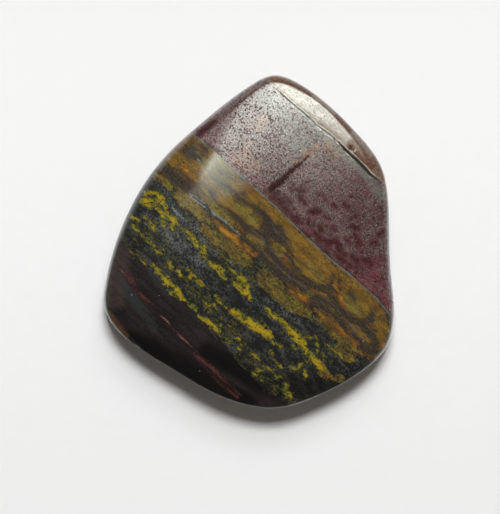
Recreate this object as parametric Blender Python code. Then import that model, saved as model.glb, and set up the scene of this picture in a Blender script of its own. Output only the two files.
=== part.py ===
"""A tumble-polished freeform of banded tiger iron and jasper, built as the one solid piece it is.

Seen from above its outline is a rounded shield with five soft corners. The polished face is a low dome
whose edge rolls over to the widest line, with a flatter bevel along the upper right side. The underside
is a shallower dome, worn to a small flat spot that the stone rests on. Frame: metres, +Z up, origin under
the centre of the outline at the height of the flat spot.
"""

import math

import bmesh
import bpy
import numpy as np

MM = 0.001

# Driving dimensions, in millimetres
WIDTH = 15.5
LENGTH = 17.8
THICKNESS = 4.3
GIRDLE_HEIGHT = 1.85
CROWN_RISE = 0.80
KEEL_DROP = 0.60

# Points that the outline passes through, in millimetres from its centre, from the right side to the left
OUTLINE = (
    (7.48, 0.00),
    (7.38, 2.60),
    (7.05, 4.00),
    (5.95, 5.58),
    (3.70, 7.73),
    (2.42, 8.57),
    (1.25, 8.88),
    (0.10, 8.38),
    (-2.37, 6.51),
    (-4.20, 4.90),
    (-5.64, 3.10),
    (-6.96, 0.50),
    (-7.70, -2.10),
    (-7.77, -3.52),
    (-6.86, -4.98),
    (-4.42, -6.62),
    (-0.70, -8.55),
    (1.40, -8.88),
    (3.68, -8.20),
    (6.22, -6.78),
    (7.43, -5.43),
    (7.72, -4.20),
    (7.60, -2.00),
)

# How far in from the outline the polished face is still rolling over: direction in degrees, width in mm
SHOULDER_WIDTHS = (
    (0, 1.5),
    (50, 1.0),
    (90, 1.5),
    (140, 2.6),
    (190, 2.0),
    (225, 1.7),
    (270, 1.6),
    (325, 1.6),
)
UNDERSIDE_SHOULDER = 2.6
SHOULDER_POWER = 2.3

# The bevel along the upper right side: its direction, where it starts, its slope and how soft its start is
BEVEL_DIRECTION = math.radians(49.1)
BEVEL_START = 7.08
BEVEL_SLOPE = 0.26
BEVEL_SOFTNESS = 0.10

# The flat spot underneath, as a share of the way from the middle to the outline
FLAT_SPOT_SHARE = 0.42

SEGMENTS = 104
RINGS = 34

STONE_COLOUR = (0.075, 0.055, 0.035, 1.0)
STONE_ROUGHNESS = 0.22


def remove_everything():
    for item in list(bpy.data.objects):
        bpy.data.objects.remove(item, do_unlink=True)


def periodic_spline(knots, values, places):
    """A smooth closed curve through values at knots, in degrees round a full turn, read at places."""
    knots = np.asarray(knots, float)
    values = np.asarray(values, float)
    count = len(knots)
    steps = np.diff(np.append(knots, knots[0] + 360.0))
    rises = (np.roll(values, -1) - values) / steps
    matrix = np.zeros((count, count))
    for i in range(count):
        matrix[i, i - 1] += steps[i - 1]
        matrix[i, i] += 2.0 * (steps[i - 1] + steps[i])
        matrix[i, (i + 1) % count] += steps[i]
    bends = np.linalg.solve(matrix, 6.0 * (rises - np.roll(rises, 1)))
    turned = (np.asarray(places, float) - knots[0]) % 360.0
    span = np.clip(np.searchsorted(knots - knots[0], turned, side="right") - 1, 0, count - 1)
    after = (span + 1) % count
    far = turned - (knots[span] - knots[0])
    left = steps[span] - far
    return (
        (bends[span] * left**3 + bends[after] * far**3) / (6.0 * steps[span])
        + (values[span] / steps[span] - bends[span] * steps[span] / 6.0) * left
        + (values[after] / steps[span] - bends[after] * steps[span] / 6.0) * far
    )


def outline_reach(direction):
    """Distance from the centre to the outline, in mm, in each direction in degrees."""
    points = np.array(OUTLINE)
    knots = np.degrees(np.arctan2(points[:, 1], points[:, 0])) % 360.0
    return periodic_spline(knots, np.hypot(points[:, 0], points[:, 1]), direction)


def outline_lean(direction):
    """Cosine of the angle between the direction from the centre and the outline's own normal."""
    step = 0.5
    reach = outline_reach(direction)
    turn = (outline_reach(direction + step) - outline_reach(direction - step)) / math.radians(2 * step)
    return reach / np.hypot(reach, turn)


def shoulder_width(direction):
    directions, widths = zip(*SHOULDER_WIDTHS)
    return periodic_spline(directions, widths, direction)


def roll_over(inset, width):
    """0 at the outline, rising steeply at first and reaching 1 at the given width in from it."""
    left = 1.0 - np.clip(inset / width, 0.0, 1.0)
    return (1.0 - left**SHOULDER_POWER) ** (1.0 / SHOULDER_POWER)


def bevel_drop(x, y):
    """How far the bevel lowers the polished face, in mm."""
    past = x * math.cos(BEVEL_DIRECTION) + y * math.sin(BEVEL_DIRECTION) - BEVEL_START
    return BEVEL_SLOPE * BEVEL_SOFTNESS * np.logaddexp(0.0, past / BEVEL_SOFTNESS)


def surface_height(x, y, upper):
    """Height of the stone's surface over (x, y), in mm, on its upper or its lower side."""
    direction = np.degrees(np.arctan2(y, x))
    reach = outline_reach(direction)
    share = np.hypot(x, y) / reach
    inset = (1.0 - share) * reach * outline_lean(direction)
    dome = 1.0 - share**2
    rise = THICKNESS - GIRDLE_HEIGHT - CROWN_RISE + CROWN_RISE * dome - bevel_drop(x, y)
    top = GIRDLE_HEIGHT + rise * roll_over(inset, shoulder_width(direction))
    drop = GIRDLE_HEIGHT - KEEL_DROP * (1.0 - FLAT_SPOT_SHARE**2) + KEEL_DROP * dome
    bottom = GIRDLE_HEIGHT - drop * roll_over(inset, UNDERSIDE_SHOULDER)
    return np.where(upper, top, np.maximum(bottom, 0.0))


def stone_mesh():
    """A sphere whose rings are carried out to the outline, then up or down to the surface."""
    shape = bmesh.new()
    bmesh.ops.create_uvsphere(shape, u_segments=SEGMENTS, v_segments=RINGS, radius=1.0)
    sphere = np.array([vert.co for vert in shape.verts])
    share = np.clip(np.hypot(sphere[:, 0], sphere[:, 1]), 0.0, 1.0)
    direction = np.degrees(np.arctan2(sphere[:, 1], sphere[:, 0]))
    distance = share * outline_reach(direction)
    x = distance * np.cos(np.radians(direction))
    y = distance * np.sin(np.radians(direction))
    z = surface_height(x, y, sphere[:, 2] > 0.0)
    around = outline_reach(np.arange(0.0, 360.0, 0.25)) * np.exp(1j * np.radians(np.arange(0.0, 360.0, 0.25)))
    middle_x = (around.real.max() + around.real.min()) / 2.0
    middle_y = (around.imag.max() + around.imag.min()) / 2.0
    x = (x - middle_x) * WIDTH / np.ptp(around.real)
    y = (y - middle_y) * LENGTH / np.ptp(around.imag)
    for vert, place in zip(shape.verts, np.column_stack((x, y, z))):
        vert.co = place * MM
    bmesh.ops.recalc_face_normals(shape, faces=shape.faces)
    mesh = bpy.data.meshes.new("stone")
    shape.to_mesh(mesh)
    shape.free()
    mesh.shade_smooth()
    return mesh


def stone_material():
    material = bpy.data.materials.new("polished_banded_stone")
    material.use_nodes = True
    shader = material.node_tree.nodes["Principled BSDF"]
    shader.inputs["Base Color"].default_value = STONE_COLOUR
    shader.inputs["Roughness"].default_value = STONE_ROUGHNESS
    shader.inputs["Metallic"].default_value = 0.0
    return material


def build_stone():
    collection = bpy.data.collections.new("mugglestone")
    bpy.context.scene.collection.children.link(collection)
    stone = bpy.data.objects.new("stone", stone_mesh())
    stone.data.materials.append(stone_material())
    collection.objects.link(stone)


remove_everything()
build_stone()
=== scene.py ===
"""Looks of a tumble-polished freeform of banded tiger iron and jasper, lying on pale paper by a window.

The stone is one closed mesh made from the same outline and profile as the solid it stands for. The hairline
crack, the low step beyond it, the pits and a slight undulation are fine relief in it. The layers run through
the whole stone. The marks are placed in the photograph's own pixels, seen from straight above, and
the shader breaks up their edges.
"""

import math

import bpy
import numpy as np
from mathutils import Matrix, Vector, noise


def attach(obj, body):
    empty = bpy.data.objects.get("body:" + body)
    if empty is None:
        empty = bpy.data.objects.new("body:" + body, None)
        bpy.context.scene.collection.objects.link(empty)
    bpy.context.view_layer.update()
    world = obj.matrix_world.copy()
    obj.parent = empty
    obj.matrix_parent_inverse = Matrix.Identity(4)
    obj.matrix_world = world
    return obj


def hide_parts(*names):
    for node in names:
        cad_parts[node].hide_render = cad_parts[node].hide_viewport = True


MM = 0.001

# The stone's size and form, in millimetres, as in the solid
WIDTH = 15.5
LENGTH = 17.8
THICKNESS = 4.3
CROWN_RISE = 0.80
KEEL_DROP = 0.60
OUTLINE = (
    (7.48, 0.00), (7.38, 2.60), (7.05, 4.00), (5.95, 5.58), (3.70, 7.73), (2.42, 8.57), (1.25, 8.88),
    (0.10, 8.38), (-2.37, 6.51), (-4.20, 4.90), (-5.64, 3.10), (-6.96, 0.50), (-7.70, -2.10), (-7.77, -3.52),
    (-6.86, -4.98), (-4.42, -6.62), (-0.70, -8.55), (1.40, -8.88), (3.68, -8.20), (6.22, -6.78),
    (7.43, -5.43), (7.72, -4.20), (7.60, -2.00),
)
# The faceted solid is a little shorter than its outline, and its middle lies a little lower. With as much
# off its length and as much of a shift, the mesh stays in the solid's box.
END_TRIM = 0.03
END_SHIFT = -END_TRIM / 4

# Read round the stone by direction in degrees: how high its widest line is, and how wide the easy shoulder
# and the tight edge outside it are
GIRDLE_HEIGHTS = (
    (0, 1.95), (60, 1.85), (130, 1.80), (180, 1.50), (205, 1.00), (221, 1.40), (240, 2.35), (262, 2.70),
    (295, 2.45), (314, 1.65), (335, 1.75),
)
SHOULDER_WIDTHS = (
    (0, 1.5), (25, 0.9), (48, 0.45), (76, 0.45), (92, 0.95), (112, 1.95), (140, 2.5), (190, 2.2), (225, 1.8),
    (270, 1.6), (325, 1.6),
)
EDGE_WIDTHS = (
    (0, 0.22), (20, 0.13), (40, 0.11), (60, 0.11), (76, 0.11), (92, 0.20), (110, 0.28), (125, 0.34),
    (155, 0.48), (185, 0.28), (205, 0.20), (220, 0.11), (240, 0.06), (262, 0.07), (280, 0.17), (297, 0.08),
    (312, 0.12), (335, 0.20),
)
# How much of the rise is in the tight edge
EDGE_SHARES = (
    (0, 0.50), (30, 0.50), (60, 0.45), (100, 0.45), (155, 0.45), (185, 0.55), (205, 0.62), (225, 0.72),
    (248, 0.78), (266, 0.74), (281, 0.60), (298, 0.74), (315, 0.68), (338, 0.55),
)
UNDERSIDE_SHOULDER = 2.6
SHOULDER_POWER = 2.3

# The bevel along the upper right side: its direction, where it starts, its slope and how soft its start is
BEVEL_DIRECTION = math.radians(49.1)
BEVEL_START = 7.08
BEVEL_SLOPE = 0.26
BEVEL_SOFTNESS = 0.10

# The flat spot underneath, as a share of the way from the middle to the outline
FLAT_SPOT_SHARE = 0.42

# The photograph's frame, the camera that looks straight down on it, and the scale at two heights
PHOTO_SIZE = (500, 514)
STONE_CENTRE_PX = (248.8, 241.6)
CAMERA_DISTANCE = 248.0
GIRDLE_PIXELS_PER_MM = 18.74
SCALE_HEIGHT = 1.85
FACE_HEIGHT = 4.1
CAMERA_X = (PHOTO_SIZE[0] / 2 - STONE_CENTRE_PX[0]) / GIRDLE_PIXELS_PER_MM
CAMERA_Y = -(PHOTO_SIZE[1] / 2 - STONE_CENTRE_PX[1]) / GIRDLE_PIXELS_PER_MM
FACE_PIXELS_PER_MM = GIRDLE_PIXELS_PER_MM * CAMERA_DISTANCE / (CAMERA_DISTANCE + SCALE_HEIGHT - FACE_HEIGHT)

# Cells across the fine mesh: upper side, lower side
FACE_CELLS = 270
UNDER_CELLS = 135

# The layers: how they run over the face, and how they slant as they go down through the stone
LAYER_ANGLE = math.radians(42.5)
LAYER_SLANT = 0.55
SLANT_START_HEIGHT = 2.9
SLANT_EASE = 0.5

# How noise is squeezed along the layers, across them and in depth
EVEN = (1.0, 1.0, 1.0)
LENGTHWISE = (0.45, 1.0, 1.0)
STREAKED = (0.18, 1.0, 1.0)

# The polished surface: how far its grain stands out, in mm, how strongly it shows, and its refractive index
BUMP_HEIGHT = 0.004
BUMP_STRENGTH = 0.7
STONE_IOR = 1.7

# Layer boundaries in photo pixels, from the upper left to the lower right, with the crack last
CONTACT_LINE = (
    (150, 98), (195.6, 135.8), (214, 150.7), (237, 172.5), (262, 194.3), (285, 216), (308, 239), (331, 259.7),
    (354, 278), (377, 298.8), (388.5, 312.5), (400, 328),
)
MIDDLE_LINE = (
    (130, 150), (162, 172), (189.7, 196), (205, 207), (218, 219), (239.6, 238), (262, 258), (289, 284),
    (310, 301), (332, 319), (353, 337), (366, 350), (380, 366),
)
LOWER_LINE = (
    (90, 205), (119.8, 239), (145, 264), (166, 292), (186, 303), (209, 331), (237, 361), (264.5, 390.6),
    (283, 402), (300, 420),
)
CRACK_LINE = (
    (268, 82), (284.6, 95.7), (295.5, 105.3), (311.4, 118.7), (316.5, 124.4), (329.3, 133.3), (340, 142.3),
    (346, 148.5), (355.5, 156.8), (365.7, 167), (371.5, 174), (377.2, 177.2),
)
# The place in that line from which the crack gapes
CRACK_GAPES_FROM = 7

# Marks in photo pixels. Each is a run of (x, y, half width).
YELLOW = (
    ((143, 191, 0.8), (146, 194, 1.4), (150, 193.5, 3.2), (156, 194.5, 3.7), (160, 198, 3.7),
     (162.5, 203, 3.2), (165, 208, 2.6)),
    ((141, 200.5, 2.6), (147, 201, 4.2), (152, 204, 4.3), (157, 207.5, 3.2), (162, 212, 2.8)),
    ((147, 197.5, 2), (153, 200, 2)),
    ((162, 213, 2), (162.5, 219, 1.8), (164.5, 225, 2.2), (167, 227, 1.5)),
    ((162, 212, 2), (168, 215, 2.8), (172, 219, 4), (174.5, 222, 3.6), (173, 226.5, 2.6)),
    ((177, 226, 1.5), (181, 229, 1), (186, 233, 1)),
    ((144, 217, 1.2), (146.5, 221, 1)),
    ((132, 216, 1.5), (138.5, 220.5, 1.3)),
    ((133, 226.8, 1.6), (135.5, 230, 2.2), (137.5, 233.5, 1.2)),
    ((148, 220.5, 1.2), (152, 226, 1.5), (155.4, 233, 1.5)),
    ((139.3, 233, 1), (150, 242.9, 1.3), (155, 249, 1.8), (160.7, 254.5, 1)),
    ((186.6, 229.5, 0.8), (192.9, 239.3, 2.2), (198, 246, 1.8)),
    ((203.5, 248, 3), (204, 253, 2.6), (204.5, 259, 1)),
    ((120.5, 240.2, 1.8), (124, 246.4, 1.5), (130.4, 252.7, 1.6), (135.7, 257, 1.8), (139.3, 260.7, 2.2),
     (144.6, 265.2, 1.8)),
    ((152.7, 264.1, 1.2), (156.8, 269.8, 2.2), (162.6, 275.7, 3), (166.8, 281.8, 4), (172.8, 286.8, 3.8),
     (177.8, 291.8, 3.5), (183.4, 299.8, 1.8)),
    ((162, 284, 2), (168, 284, 2.2)),
    ((171, 293, 1), (176, 298.5, 1.8), (180, 302, 1)),
    ((184, 300, 1), (190, 305.5, 1.4), (196, 310, 0.8)),
    ((183, 305, 0.5), (188, 310, 0.7), (192, 317, 0.4)),
    ((194, 309, 0.6), (199, 317, 0.8), (204, 322, 0.8)),
    ((210, 264, 3), (216, 267, 3), (222, 271, 3), (221, 274, 2.5), (225, 279, 2)),
    ((229, 269.8, 1.4), (235, 273.6, 1.6)),
    ((168, 262, 1.5), (171, 268, 2)),
    ((184.6, 266.7, 1.2), (190.7, 269.8, 1.3)),
    ((178.5, 272, 1.6), (180.5, 276, 2)),
    ((190, 277, 2), (194, 277, 1.5), (199, 282, 1.8), (203, 285, 1)),
    ((208, 289, 0.6), (210, 296, 0.5)),
    ((232.8, 282, 0.8), (240, 287, 2)),
    ((240, 278, 2.3), (244, 281, 3.6), (246.5, 287, 4.3), (246.5, 292.5, 3.9), (250, 297.5, 2),
     (252, 299, 1)),
    ((234, 284, 0.6), (240, 290, 1.6), (243, 295, 1.2)),
    ((254, 290, 0.5), (255, 296, 0.5)),
    ((232, 310, 2), (238, 315, 3.5), (244, 319, 4), (250, 322, 4), (256, 325, 4.5), (262, 329.5, 5),
     (267, 333.5, 4.5), (271, 336.5, 2.5)),
    ((266.4, 309.6, 1.4), (272.5, 315, 2.2), (280.2, 320.3, 2.8), (286.3, 326.3, 3.2), (291.7, 332.3, 3.9),
     (297.7, 337.8, 4.3), (303.4, 343.3, 4.2), (307.7, 351.3, 3.3), (314.1, 358.9, 3.2), (319.5, 365.3, 3.8),
     (323, 368.8, 2.4)),
    ((303, 338.2, 1.2), (309, 336.5, 1.2), (315, 338.2, 0.8), (318.5, 345.4, 0.7), (317, 352.5, 0.6),
     (312, 357, 0.6)),
    ((290, 365.9, 1.2), (293.8, 368.6, 1.8), (298, 368, 1.6), (301.5, 364.5, 1.3)),
    ((253.6, 354.3, 1.2), (258, 359, 1.4)),
    ((232, 339, 1.3), (238.4, 338, 1.4)),
    ((227, 339.5, 1.2), (227.5, 340, 1.2)),
    ((239.3, 349, 1.6), (240, 350, 1.2)),
    ((256, 370.4, 1.8), (259, 371, 1.2)),
    ((253, 374, 1.2), (256, 376, 1.4)),
    ((262.5, 366.8, 1), (273, 370.4, 0.9)),
    ((268, 379.3, 1), (274, 378.5, 1.2), (280, 377.5, 0.9)),
    ((284, 383, 1.3), (287, 386, 1.2)),
    ((269.6, 351.6, 0.8), (272, 356, 0.9)),
    ((274, 360, 0.9), (281, 367, 1.1)),
    ((304.5, 370.4, 1), (306, 376.6, 1.1)),
    ((272.5, 342.7, 0.9), (278, 345, 1), (283, 347, 1.4)),
    ((293, 346, 0.4), (297, 350, 0.4)),
    ((283, 388, 0.8), (288, 394, 1), (292, 398, 1)),
    ((205, 319, 1.4), (210, 323, 2.5), (214, 325.5, 2.5), (218, 333, 1.5)),
    ((203, 318, 0.8), (208, 324, 1)),
    ((201.8, 328.4, 0.8), (207, 332, 1), (211.6, 333.8, 1)),
    ((212, 336, 1), (216, 341, 1)),
    ((217, 332, 1.3), (220, 336, 1)),
    ((214, 305, 1), (217, 310, 1)),
    ((220.5, 317.7, 1.3), (221, 319, 1)),
    ((204.5, 301, 0.8), (209.8, 305, 1.1)),
    ((215, 296, 1.3), (218, 299, 1.5), (222, 304, 0.9), (227, 308, 0.9)),
    ((327.7, 345, 1.1), (332, 349, 1.4), (337.5, 354.3, 1.5), (342, 358, 1)),
    ((165, 180, 1.2), (168.5, 184, 2), (171.5, 188, 1.5)),
    ((186, 212, 0.8), (189, 221, 1)),
)
YELLOW_HOLES = (
    ((147, 195.5, 1), (153.6, 196.5, 1.4)),
    ((153, 203.5, 1.3), (157, 205, 1), (161.6, 208.5, 1.6)),
    ((164.3, 219.6, 1.5), (164.6, 220, 1.5)),
    ((168.3, 224.2, 1.4), (168.6, 224.5, 1.4)),
    ((310.3, 346.3, 4.4), (310.6, 346.6, 4.4)),
    ((307.6, 356.2, 1.1), (307.8, 356.4, 1.1)),
    ((242, 285, 1.6), (243, 287.5, 1.3)),
    ((217.5, 269.7, 1.1), (218.5, 270.5, 1.1)),
    ((242.3, 316.2, 1.2), (245, 318.6, 1.2)),
    ((172, 291, 1), (169, 287.5, 1.3)),
)
FLECK_RICH = (
    ((150, 232, 12), (165, 250, 8)),
    ((190, 296, 10), (215, 320, 12), (236, 345, 12), (262, 378, 13), (285, 392, 10)),
    ((215, 272, 12), (245, 284, 14), (262, 270, 8), (300, 318, 10), (330, 350, 10)),
    ((205, 226, 8), (222, 246, 8), (238, 262, 8)),
)
FLECK_LEAN = (
    ((150, 183, 7), (160, 186, 6)),
    ((180, 240, 10), (205, 262, 10), (225, 290, 9), (255, 306, 8)),
    ((258, 340, 8), (285, 352, 9), (296, 356, 6)),
    ((135, 206, 5), (140, 209, 7), (150, 212, 6)),
    ((230, 378, 8), (250, 398, 6)),
    ((296, 382, 8), (305, 388, 10), (330, 378, 10), (345, 368, 6)),
    ((268, 302, 5), (285, 315, 5), (312, 330, 7), (322, 340, 6)),
)
ORANGE = (
    ((182, 166.5, 0.9), (186.3, 170.4, 1.1), (192.5, 174.8, 0.9)),
    ((213.7, 218, 1.5), (219.3, 225.4, 2.6), (223.5, 229.8, 3.2), (229, 234.6, 2.8), (236, 239.6, 2.8),
     (241.5, 244, 2.6), (249, 250, 2), (255, 254.8, 1.2)),
    ((289, 287, 2.2), (294.8, 291.2, 2.4), (300.5, 295.8, 2), (308, 301.2, 1.2)),
    ((315, 309.6, 1.2), (323.7, 315.4, 1.8), (332, 321.6, 1.4), (339, 328.4, 1.4), (346, 334, 1.5),
     (353, 339.8, 1.4), (358.5, 345, 1.3)),
    ((360, 351.6, 1.1), (364.4, 355.8, 1.2), (370.7, 357.9, 1.1)),
    ((292, 252.3, 1.3), (298, 255.4, 1.4), (303.6, 256, 1.1)),
    ((311, 264.7, 0.9), (320, 267.5, 1.3), (327, 273, 1.4), (331.5, 278.2, 1.6)),
    ((334.6, 281, 1.1), (337.5, 288, 1.2), (340, 296, 1.3), (342.6, 303.9, 1.2)),
    ((383.3, 345.3, 1.4), (380.5, 349, 1.2)),
    ((320.9, 293.6, 1), (325, 296.4, 1)),
    ((319.8, 364.6, 1.2), (322, 367.4, 1.4)),
    ((180.5, 163, 1.5), (184, 166, 1.5)),
    ((136, 257.4, 0.9), (140.5, 261.6, 1.1)),
)
EMBER = (
    ((272, 216.9, 1.5), (272.6, 217.5, 1.4)),
    ((282.5, 256, 1), (286.5, 258.4, 1.5)),
    ((302.6, 243.5, 1.6), (304.5, 245, 1)),
    ((246.6, 251.4, 0.9), (249, 253, 1.1)),
    ((335, 292.6, 0.8), (339, 298.2, 0.9), (341.2, 303.9, 1.1), (346, 311, 0.8)),
    ((298, 296, 0.8), (305.4, 301.8, 0.8)),
    ((340.5, 332, 0.9), (349.6, 338.6, 0.9), (356.7, 346, 1.1)),
)
GOLD = (
    ((186, 137, 4), (190, 143, 4), (197, 146, 3)),
    ((196, 157, 4), (190, 165, 6), (197, 172, 8), (207, 180, 8), (216, 190, 7), (226, 199, 7)),
    ((211, 152, 3), (219, 163, 6), (229, 175, 6), (240, 187, 5)),
    ((228, 196, 6), (236, 203.7, 8), (246.7, 211.5, 8), (255, 221, 7.5)),
    ((245, 186, 4), (262, 202, 5), (280, 220, 4), (292, 232, 6)),
    ((294, 236, 5), (305, 248, 8), (318, 262, 9), (330, 276, 8)),
    ((300, 258, 6), (310, 268, 9), (321, 276, 8)),
    ((345, 284, 5), (352, 296, 10), (358, 308, 10), (364, 316, 6)),
    ((340, 272, 4), (358, 288, 5), (372, 304, 6), (380, 318, 7), (382, 332, 6), (380, 343, 4)),
    ((275, 247, 4), (281, 252, 4)),
    ((352, 324, 3), (362, 334, 4), (370, 340, 3)),
    ((180, 197, 5), (190, 205, 6), (200, 215, 5)),
    ((172, 160, 5), (180, 152, 6), (190, 160, 5)),
)
# Where the ironstone below the ochre band is stained golden brown
AMBER = (
    ((178, 194, 4.5), (185, 200, 7), (192, 205, 6.5), (200, 213, 5), (207, 222, 4)),
    ((155, 175, 3), (164, 181, 4), (172, 187, 3)),
    ((206, 228, 6), (218, 238, 8), (232, 248, 8), (246, 260, 7)),
    ((262, 276, 6), (276, 290, 8), (292, 303, 8), (306, 312, 6)),
    ((318, 316, 4), (332, 328, 5), (346, 342, 5), (354, 350, 4)),
    ((324, 372, 4), (332, 377, 4), (340, 379, 4)),
    ((338, 350, 4), (350, 358, 4)),
)
UMBER = (
    ((292, 293, 1), (301, 300, 1.8), (311, 306, 1)),
    ((320, 314, 1.2), (328, 320, 2), (338, 331, 2.6), (346, 340, 1.6)),
    ((232, 236, 1), (242, 244, 1.4), (250, 252, 1)),
)
OLIVE = (
    ((214, 158, 3), (222, 168, 4), (231, 178, 4)),
    ((238, 206, 4), (248, 215, 5), (256, 224, 5)),
    ((274, 247, 4), (282, 252, 4)),
    ((312, 268, 5), (322, 279, 5)),
    ((350, 300, 6), (356, 311, 6)),
    ((192, 146, 3), (203, 155, 3)),
    ((203, 160, 5), (216, 176, 6), (227, 190, 5)),
    ((300, 288, 3), (318, 300, 4), (330, 311, 4)),
    ((250, 238, 4), (262, 244, 4)),
    ((206, 198, 4), (214, 208, 4), (226, 218, 4)),
)
DARK = (
    ((180.7, 146, 0.9), (185.6, 153.9, 1.2), (189, 157.4, 1.4)),
    ((191.2, 146, 1.6), (198.2, 150.4, 1.5), (203, 155.3, 1), (200, 161, 0.9)),
    ((184, 150, 3), (192, 155, 4), (200, 158, 3)),
    ((214.4, 163.7, 0.5), (219.3, 171.4, 0.7), (227.7, 177.7, 0.6)),
    ((209.5, 175.6, 0.6), (217.9, 182.6, 0.9), (229, 187.5, 1.3), (236, 194.6, 1.6), (243, 200.9, 1.8),
     (249, 205.5, 1.4), (256, 209.5, 2), (264.4, 214, 3)),
    ((199.6, 183.3, 0.7), (208, 187.5, 1.2), (210.9, 193.2, 2.2), (213, 198, 1.5)),
    ((264, 215, 3), (269, 223.6, 4), (276, 226.5, 3), (281.6, 231.2, 2), (287.3, 238, 1.5)),
    ((268, 230, 4), (276, 236, 4.5), (284, 240, 3)),
    ((234.7, 215.6, 1.6), (241.8, 220.5, 2.2), (247.4, 226.8, 2.2), (253.7, 231.8, 2), (264.2, 235, 2.4),
     (268.2, 246.6, 1.6)),
    ((265.3, 232.2, 2.2), (266.5, 246, 2.6), (272, 254.2, 3.2), (280, 265.7, 3), (291, 274, 2.6),
     (303.6, 282, 2.2), (317, 287, 1.8)),
    ((287, 256, 1), (292, 262, 1.2), (300, 272, 1.2)),
    ((304, 281.4, 1.8), (318, 288.4, 2.2), (329.3, 294, 2.4), (335, 301.8, 2.8), (340.5, 309.5, 3.2)),
    ((340.5, 309.5, 3.2), (349.6, 318.2, 3.6), (360, 322.4, 3.8), (370.7, 320.3, 3.2), (373.5, 311.6, 2.2)),
    ((333, 276, 2.2), (332, 283, 2.4), (330.6, 288, 2)),
    ((358.8, 322.5, 3.6), (366, 328, 4.2), (369.3, 334, 3.8), (374, 337, 3), (377.7, 343.2, 3),
     (377, 350, 3.5)),
    ((376.3, 330.5, 1.3), (376.6, 331, 1.2)),
    ((361, 344, 3), (365, 348.5, 4), (372, 352.5, 4), (378, 351, 3)),
    ((349.6, 292.6, 0.8), (354.6, 298.2, 1), (356, 300, 0.7)),
    ((371, 292, 1.2), (377, 298, 1.6), (383, 305.5, 2.2), (388, 312, 2.6), (390, 320, 2)),
    ((240, 238, 2.4), (252, 246, 2), (262, 256, 2.4), (276, 270, 3), (290, 280, 3), (304, 291, 3)),
    ((312, 299, 3), (326, 311, 3.4), (340, 324, 3.6), (352, 335, 3.4), (360, 342, 2.8)),
    ((318, 297, 3), (332, 305, 3), (342, 315, 3)),
    ((164, 168, 3), (172, 176, 5), (182, 183, 4.5), (190, 188, 3)),
    ((270, 196.5, 0.7), (277, 203.5, 0.6)),
)
WISPS = (
    ((250, 228, 0.5), (262, 238, 0.5), (270, 250, 0.6), (284, 262, 0.5)),
    ((272, 222, 0.5), (276, 232, 0.6), (286, 240, 0.5), (292, 248, 0.5)),
    ((283, 228, 0.5), (290, 236, 0.5)),
    ((262, 250, 0.5), (274, 262, 0.5), (288, 276, 0.6), (306, 288, 0.5)),
    ((246, 232, 0.4), (258, 240, 0.5), (264, 250, 0.4)),
    ((322, 296, 0.5), (334, 306, 0.5), (346, 320, 0.5), (356, 330, 0.5)),
    ((346, 326, 0.5), (356, 334, 0.5), (366, 340, 0.5)),
)
RED = (
    ((199, 132, 4), (206, 127, 3.5), (214, 121, 2.5)),
    ((204, 143, 3), (211, 148, 3), (219, 152, 3)),
    ((266, 192, 3), (271, 191, 4), (277, 193, 4)),
    ((272, 197, 4), (279, 200, 4.5), (286, 210, 3.5)),
    ((296, 189, 2.6), (301, 189.5, 3.4), (305, 191, 2)),
    ((299, 196, 3), (303, 201, 3.8), (305, 204, 2.4)),
    ((309, 212, 2.2), (315, 211, 3.8), (320, 212, 2.2)),
    ((286, 207, 3), (288, 212, 3.4)),
    ((333, 205, 2.4), (336, 207, 2)),
    ((345, 205, 2.4), (348, 207, 2)),
    ((320, 226, 2.6), (321, 230, 2.6)),
    ((333, 227, 2.2), (334.5, 229, 2)),
    ((352, 226, 2.4), (358, 229, 2.4)),
    ((355, 234, 2), (359, 243, 3.4), (357, 246, 2)),
    ((300, 231, 1.6), (309, 236, 2.2)),
    ((314, 232, 2), (320, 239, 2.4)),
    ((329, 243, 3), (336, 241, 3.6), (341, 251, 3)),
    ((373, 243, 2.6), (376, 244, 2.2)),
    ((379, 234, 2.4), (384, 231, 2)),
    ((336, 255, 2), (344, 262, 2.4)),
    ((368, 261, 2.6), (371, 264, 2.2)),
    ((325, 252, 2), (328, 256, 1.6)),
    ((310, 180, 0.8), (301, 186, 1.3), (292, 191, 1.3)),
    ((283, 196, 2.2), (290, 202, 2.6)),
    ((292, 216, 2), (298, 222, 2.4)),
    ((345, 238, 2.2), (350, 243, 2)),
    ((308, 224, 1.8), (314, 226, 1.4)),
    ((325, 216, 1.6), (330, 219, 1.4)),
    ((352, 256, 2.2), (357, 262, 2)),
)
CRIMSON = (
    ((312, 230, 2), (322, 240, 3), (338, 256, 4), (352, 270, 5)),
    ((362, 262, 6), (372, 276, 10), (380, 292, 9), (386, 304, 5)),
    ((358, 276, 5), (368, 288, 6)),
    ((200, 130, 5), (208, 146, 4)),
    ((375, 262, 7), (385, 262, 6)),
)
WARM = (
    ((250, 144, 3), (246, 152, 7), (240, 160, 7)),
    ((252, 165, 8), (240, 170, 5)),
    ((262, 120, 5), (258, 128, 5)),
    ((318, 146, 3), (306, 153, 4)),
    ((312, 153, 1.6), (305, 156.5, 2.2), (299, 161, 2.2), (294, 166, 1.6)),
    ((236, 160, 6), (232, 166, 3)),
    ((328, 146, 5), (333, 152, 5)),
)
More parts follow.
